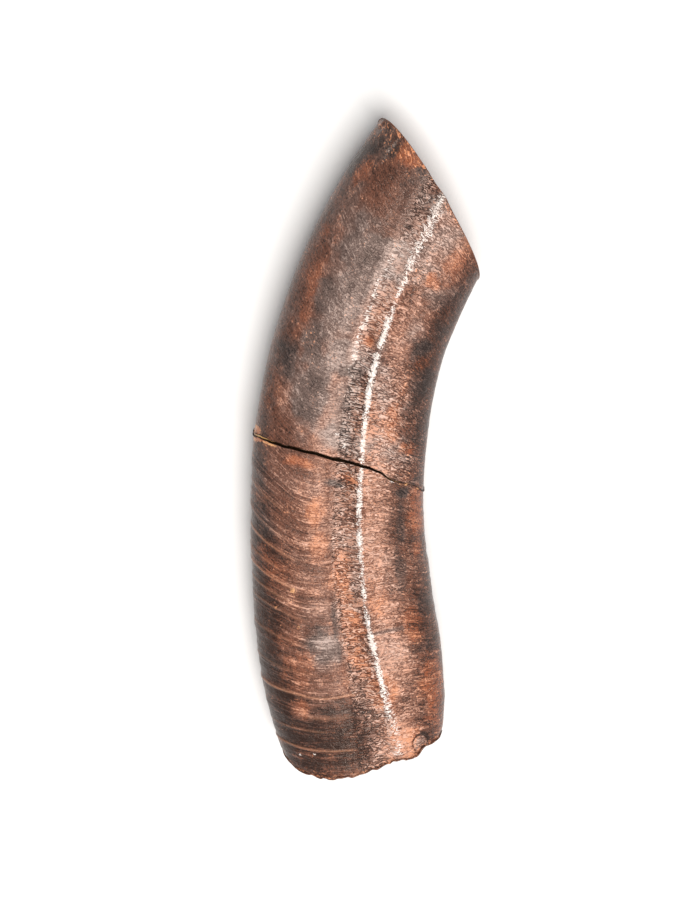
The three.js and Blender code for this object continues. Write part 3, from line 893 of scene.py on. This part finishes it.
# What makes the skin lighter or darker: a layer, its middle value and its weight. The second part counts as much
# as the grain does at a place, and the third as much as the growth lines.
TONE_MIDDLE = 0.47
TONE = [
    ("placed", 0, 0.34), ("cloud", 0.5, 0.6), ("broad", 0.5, 0.5), ("speck", 0.5, 0.85), ("line", 0, 0.35),
    ("marks", 0, 0.25), ("soot", 0, -0.25), ("rust", 0, 0.12),
]
GRAIN_TONE = [("worm", 0.7, 0.7), ("curl", 0.3, 0.55)]
# Deeper growth grooves are painted darker as shade, raised ones lighter.
RULED_TONE = [("thin_lines", 0.56, 1.2), ("groove_shade", 0, -0.05)]

# What shapes each overlay, as above, then the sums it is eased in between, and how much of its colour shows.
RUSTY, RUSTY_EDGE, RUSTY_SHARE = [("rust", 0, 0.85), ("speck", 0.5, 0.6), ("cloud", 0.5, 0.8)], (0.1, 0.9), 0.75
GREY, GREY_SHARE = [("ashen_cloud", 0, 0.8), ("flute", 0, 0.15), ("soot", 0, 1)], 0.75
GREY_BROAD, ASHEN_START = (0.45, 0.62), 0.6
# Painted sparkle: the pale lines of the grain turned white where the tone is light.
SPARKLE_LIT, SPARKLE_SHARE = (0.6, 1.3), 0.45
MARK_SHARE = 0.45
# Painted highlight: along the keel and the flute's border, with painted glitter near it.
HIGHLIGHT_GLITTER = [("worm", 0.6, 0.7), ("curl", 0.35, 0.8), ("speck", 0.5, 2.2)]
HIGHLIGHT_WEIGHT, HIGHLIGHT_NEAR, HIGHLIGHT_EDGE = 1.25, (0, 0.5), (0.35, 0.95)
CRUMBLY = [("rim", 0, 1), ("speck", 0.5, 2.4), ("worm", 0.65, 0.6), ("cloud", 0.5, 1.6)]
CRUMBLY_EDGE, CRUMBLY_SHARE, CRUMBLY_TONE = (0.5, 0.9), 0.75, [("curl", 0.3, 0.8)]
CRUMBLY_LIGHTER = 0.15
GOLDEN, GOLDEN_EDGE, GOLDEN_LIGHTER = [("gold", 0, 1), ("speck", 0.5, 1.2)], (0.35, 0.8), 0.55
# The wear face, the cavity and the broken faces, which are painted dark as shade inside the crack.
BARE_MIDDLE, BARE = 0.42, [("cloud", 0.5, 0.9), ("speck", 0.5, 0.8), ("worm", 0.65, 0.3)]
CRACK_SHADE = (0, 0.1)

# Height of each layer's relief, and what makes the surface rougher or glossier.
RELIEF = [("fine", 0, 0.04), ("line", 0, 0.05), ("thin_lines", 0, 0.03), ("speck", 0, 0.05)]
GRAIN_RELIEF = [("worm", 0, 0.06), ("curl", 0, 0.06)]
RULED_RELIEF = [("thin_lines", 0, 0.08)]
ROUGH_MIDDLE, ROUGH = 0.3, [("speck", 0.5, 0.3), ("painted_shine", 0, -0.1), ("bare", 0, 0.3)]
FOSSIL_GLOSS = {"IOR": 1.5, "Specular IOR Level": 0.55, "Specular Tint": (1.0, 0.8, 0.7, 1.0)}

# The glue's clouds and the dust in it.
AMBER_EDGE, AMBER_ROUGH, AMBER_HIGH = (0.35, 0.65), 0.2, 0.1
DUST_EDGE, DUST_SHARE, DUST_ROUGH = (0.6, 0.75), 0.6, 0.25

# How grey the two pieces are.
CROWN_GREYNESS, ROOT_GREYNESS = 0.7, 0.25

FIELDS = (
    "growth", "groove_shade", "ruled", "marks", "rust", "soot", "placed", "ashen", "painted_highlight", "flute", "grained",
    "crack_edge", "gold", "rim", "skin",
)


def fossil_layers(tree):
    """The fields and the noises that the finish is mixed from, by name.

    The grain is one noise, with a dark line (worm) where it is at one level and a pale one (curl) beside it.
    """
    layers = {title: read_field(tree, title) for title in FIELDS}
    strand = read_field(tree, "strand", "Vector")
    wrinkle = grain(lengthwise(strand, layers["growth"], 0.38), scale=1.9, detail=2, roughness=0.5, warp=1)
    ringed = lengthwise(strand, layers["growth"], 0.06)
    ring = grain(ringed, scale=0.7, detail=2, roughness=0.5, warp=0.3)
    layers["broad"] = grain(strand, scale=0.11, detail=3)
    layers["cloud"] = grain(strand * (1, 1, 0.7), scale=0.35, detail=3, roughness=0.5)
    layers["speck"] = grain(strand, scale=3.2, detail=2, roughness=0.6, warp=0.4)
    layers["fine"] = grain(strand, scale=5, detail=1, roughness=0.5)
    layers["worm"] = 1 - wrinkle.near(0.5, 14)
    layers["curl"] = wrinkle.near(0.6, 16)
    layers["line"] = ring.near(0.5, 34) * layers["ruled"]
    layers["thin_lines"] = grain(ringed, scale=1.3, detail=3, roughness=0.6)
    layers["ashen_cloud"] = layers["ashen"] * (layers["cloud"] + ASHEN_START)
    layers["bare"] = 1 - layers["skin"]
    return layers


def fossil_material(name, greyness):
    """Waxy mineralised dentine with stains, growth lines and a fine worm-like grain; its colour also holds painted
    highlights, glints, sparkle, sheen and shade.
    """
    material = new_material(name)
    layers = fossil_layers(material.node_tree)
    grained, ruled, painted_highlight = layers["grained"], layers["ruled"], layers["painted_highlight"]

    tone = weigh(layers, TONE, TONE_MIDDLE)
    tone = tone + weigh(layers, GRAIN_TONE) * grained + weigh(layers, RULED_TONE) * ruled
    rusty = weigh(layers, RUSTY).between(*RUSTY_EDGE)
    grey = (weigh(layers, GREY) + layers["broad"].between(*GREY_BROAD) * greyness - rusty).held()
    # Painted sparkle: the grain's pale lines turn white where the tone is light.
    painted_sparkle = (layers["curl"] * tone.between(*SPARKLE_LIT) * grained).held()
    # Painted highlight: a white line along the keel and the flute's border, glints, and glitter near them.
    painted_shine = (painted_highlight * HIGHLIGHT_WEIGHT + weigh(layers, HIGHLIGHT_GLITTER) * painted_highlight.between(*HIGHLIGHT_NEAR)).between(*HIGHLIGHT_EDGE)
    crumbly = weigh(layers, CRUMBLY).between(*CRUMBLY_EDGE)
    golden = weigh(layers, GOLDEN).between(*GOLDEN_EDGE)

    colour = ramp(tone, UMBER, CHESTNUT, FAWN)
    colour = blend(grey * GREY_SHARE, colour, ramp(tone, INK, SLATE, ASH))
    colour = blend(rusty * RUSTY_SHARE, colour, ramp(tone, SOOTY, SIENNA, APRICOT))
    colour = blend(painted_sparkle * SPARKLE_SHARE, colour, HIGHLIGHT_AND_DUST_WHITE)
    colour = blend((layers["marks"] * MARK_SHARE).held(), colour, MARK_TAN)
    colour = blend(painted_shine, colour, HIGHLIGHT_AND_DUST_WHITE)
    crumbly_tone = tone + weigh(layers, CRUMBLY_TONE, CRUMBLY_LIGHTER)
    colour = blend(crumbly * CRUMBLY_SHARE, colour, ramp(crumbly_tone, UMBER, CHESTNUT, APRICOT))
    colour = blend(golden, colour, ramp(tone + GOLDEN_LIGHTER, SOOTY, SIENNA, GOLD))
    # Painted shade: the broken faces go nearly black inside the crack.
    inside = weigh(layers, BARE, BARE_MIDDLE) - layers["crack_edge"].between(*CRACK_SHADE)
    colour = blend(layers["skin"], ramp(inside, UMBER, CHESTNUT, TAN), colour)

    layers["painted_shine"] = painted_shine
    relief = weigh(layers, RELIEF) + weigh(layers, GRAIN_RELIEF) * grained + weigh(layers, RULED_RELIEF) * ruled
    rough = weigh(layers, ROUGH, ROUGH_MIDDLE).held()
    finish_with(material, {"Base Color": colour, "Roughness": rough, "Normal": hollow(relief)}, FOSSIL_GLOSS)
    return material


def glue_material():
    """Hardened amber glue: glossy, uneven, with paler grains of dust caught in it."""
    material = new_material("amber_glue")
    strand = read_field(material.node_tree, "strand", "Vector")
    cloud = grain(strand, scale=0.9, detail=3)
    dust = grain(strand, scale=3, detail=2)
    colour = blend(cloud.between(*AMBER_EDGE), AMBER, PALE_AMBER)
    colour = blend(dust.between(*DUST_EDGE) * DUST_SHARE, colour, HIGHLIGHT_AND_DUST_WHITE)
    rough = dust * DUST_ROUGH + AMBER_ROUGH
    finish_with(material, {"Base Color": colour, "Roughness": rough, "Normal": hollow(cloud * AMBER_HIGH)}, {})
    return material


def finish_piece(piece, node, material):
    """Gives a piece its material, and says what it rides on, what it replaces and its finish."""
    piece.data.materials.append(material)
    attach(piece, "root")
    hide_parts(node)


def build_tooth():
    """The two pieces of the tooth and the glue between them, each a stack of rings with two end points."""
    crown, root = crown_rings(), root_rings()
    middle, half = break_along(0, 0), crack_half(0)
    glue_half = GLUE_SHARE_OF_CRACK * half
    crown_ends = (place(0, 0, middle + half), crown[0][-1].mean(0))
    root_ends = (place(0, 0, CAVITY_TIP), place(0, 0, middle - half))
    glue_ends = (place(0, 0, middle - glue_half), place(0, 0, middle + glue_half))
    finish_piece(
        fossil_piece("crown_surface", crown, crown_ends), "crown_fragment",
        fossil_material("fossil_crown", CROWN_GREYNESS))
    finish_piece(
        fossil_piece("root_surface", root, root_ends), "root_fragment",
        fossil_material("fossil_root", ROOT_GREYNESS))
    finish_piece(make_piece("glue_film", glue_rings(), glue_ends, {}), "glue_seam", glue_material())


# The camera looks down on the tooth, tilted towards the crown. Lengths are in metres from here.
LOOK_AT = Vector((-0.0022, 0.00145, 0.008))
CAMERA_TILT = np.radians(16)
CAMERA_FAR = 0.34
LENS, SENSOR = 75, 36
NEAREST_SEEN = 0.01

# A large soft light, and the white surround's strength.
KEY_TOWARDS, KEY_FAR, KEY_SIZE = (0.16, -0.19, 0.95), 0.9, (0.36, 0.7)
KEY_POWER, KEY_COLOUR = 9.3, (1, 0.965, 0.93)
SURROUND = 0.38

FLOOR_HALF = 1.5
FLOOR_FINISH = {"Base Color": (0.9, 0.9, 0.9, 1), "Roughness": 0.9, "Specular IOR Level": 0.1}


def make_camera():
    """Looks at the middle of the tooth from straight above, leaning back towards the crown by the tilt."""
    data = bpy.data.cameras.new("camera")
    data.lens = LENS
    data.sensor_width = SENSOR
    data.clip_start = NEAREST_SEEN
    camera = add_object("camera", data)
    camera.location = LOOK_AT + CAMERA_FAR * Vector((0, np.sin(CAMERA_TILT), np.cos(CAMERA_TILT)))
    camera.rotation_euler = (-CAMERA_TILT, 0, 0)
    bpy.context.scene.camera = camera


def make_light():
    """A rectangle of light that faces the middle of the tooth."""
    data = bpy.data.lights.new("key", "AREA")
    data.shape = "RECTANGLE"
    data.size, data.size_y = KEY_SIZE
    data.energy = KEY_POWER
    data.color = KEY_COLOUR
    light = add_object("key", data)
    direction = Vector(KEY_TOWARDS).normalized()
    light.location = LOOK_AT + direction * KEY_FAR
    light.rotation_euler = direction.to_track_quat("Z", "Y").to_euler()


def make_stage():
    """A plain pale floor and a soft white surround."""
    mesh = bpy.data.meshes.new("floor")
    low, high = -FLOOR_HALF, FLOOR_HALF
    mesh.from_pydata([(low, low, 0), (high, low, 0), (high, high, 0), (low, high, 0)], [], [(0, 1, 2, 3)])
    floor = add_object("floor", mesh)
    material = new_material("pale_floor")
    finish_with(material, {}, FLOOR_FINISH)
    mesh.materials.append(material)
    world = bpy.data.worlds.new("studio")
    world.use_nodes = True
    background = world.node_tree.nodes["Background"]
    background.inputs["Color"].default_value = (1, 1, 1, 1)
    background.inputs["Strength"].default_value = SURROUND
    bpy.context.scene.world = world


build_tooth()
make_camera()
make_stage()
make_light()
bpy.context.scene.view_settings.view_transform = "Standard"
